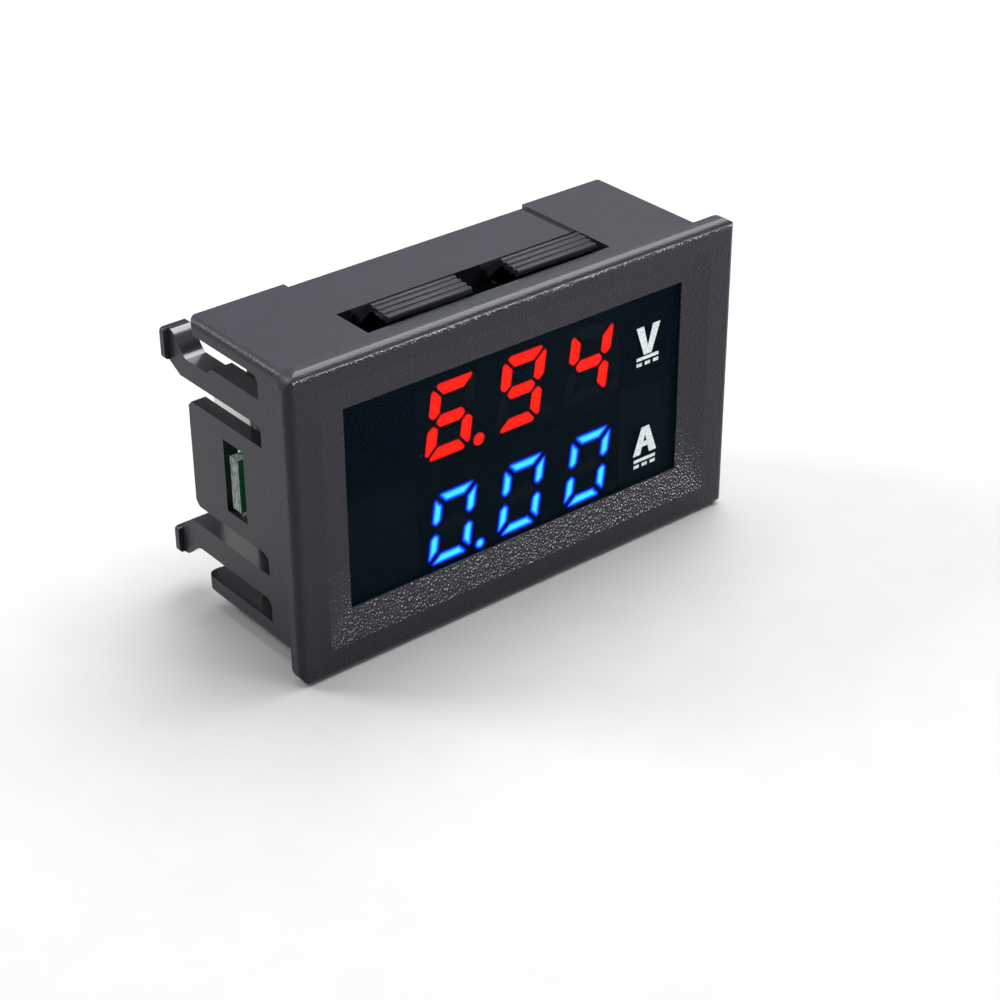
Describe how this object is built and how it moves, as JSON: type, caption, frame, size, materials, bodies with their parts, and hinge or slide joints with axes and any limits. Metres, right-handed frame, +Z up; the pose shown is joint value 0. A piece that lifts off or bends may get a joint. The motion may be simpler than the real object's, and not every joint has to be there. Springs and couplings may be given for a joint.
{
  "type": "digital panel meter",
  "caption": "Snap-in digital panel meter with stacked volt and amp displays, hooked side arms, toothed clip tongues and rear board headers.",
  "frame": {"origin": "centre of the panel seat, the rear face of the bezel", "axes": "+X right as seen from the front, +Y out of the rear of the meter, away from the viewer, +Z up"},
  "size_m": [0.048, 0.0203, 0.029],
  "materials": {
    "housing_black": "fine-textured satin",
    "smoked_lens": "polished",
    "board_green": "solder mask",
    "display_shell": "satin",
    "lit_red": "diffused, glowing",
    "lit_blue": "diffused, glowing",
    "unlit_segment": "diffused",
    "tinned": "tin plated",
    "header_white": "satin",
    "trimmer_body": "satin",
    "trimmer_rotor": "bright",
    "shunt_alloy": "bare resistance alloy",
    "chip_black": "moulded epoxy",
    "resistor_black": "glazed",
    "capacitor_tan": "ceramic",
    "solder": "bright solder"
  },
  "bodies": {
    "meter": {"housing": "housing_black", "window_lens": "smoked_lens", "circuit_board": "board_green", "volt_display_shell": "display_shell", "volt_display_lit_segments": "lit_red", "volt_display_dark_segments": "unlit_segment", "volt_display_pins": "tinned", "amp_display_shell": "display_shell", "amp_display_lit_segments": "lit_blue", "amp_display_dark_segments": "unlit_segment", "amp_display_pins": "tinned", "current_header": "header_white", "current_header_pins": "tinned", "power_header": "header_white", "power_header_pins": "tinned", "volt_trimmer_body": "trimmer_body", "amp_trimmer_body": "trimmer_body", "trimmer_terminals": "tinned", "shunt_link": "shunt_alloy", "controller_chip": "chip_black", "controller_leads": "tinned", "amplifier_chip": "chip_black", "amplifier_leads": "tinned", "regulator_chip": "chip_black", "regulator_leads": "tinned", "diode_body": "chip_black", "diode_leads": "tinned", "chip_resistors": "resistor_black", "chip_capacitors": "capacitor_tan", "chip_end_caps": "tinned", "solder_joints": "solder"},
    "volt_trimmer": {"volt_trimmer_rotor": "trimmer_rotor"},
    "amp_trimmer": {"amp_trimmer_rotor": "trimmer_rotor"}
  },
  "joints": [
    {"name": "volt_trimmer_turn", "type": "hinge", "parent": "meter", "child": "volt_trimmer", "pos_m": [0.01155, 0.0111, 0.00665], "axis": [0, 1, 0], "range_deg": [-120, 120]},
    {"name": "amp_trimmer_turn", "type": "hinge", "parent": "meter", "child": "amp_trimmer", "pos_m": [0.01155, 0.0111, -0.00695], "axis": [0, 1, 0], "range_deg": [-120, 120]}
  ]
}
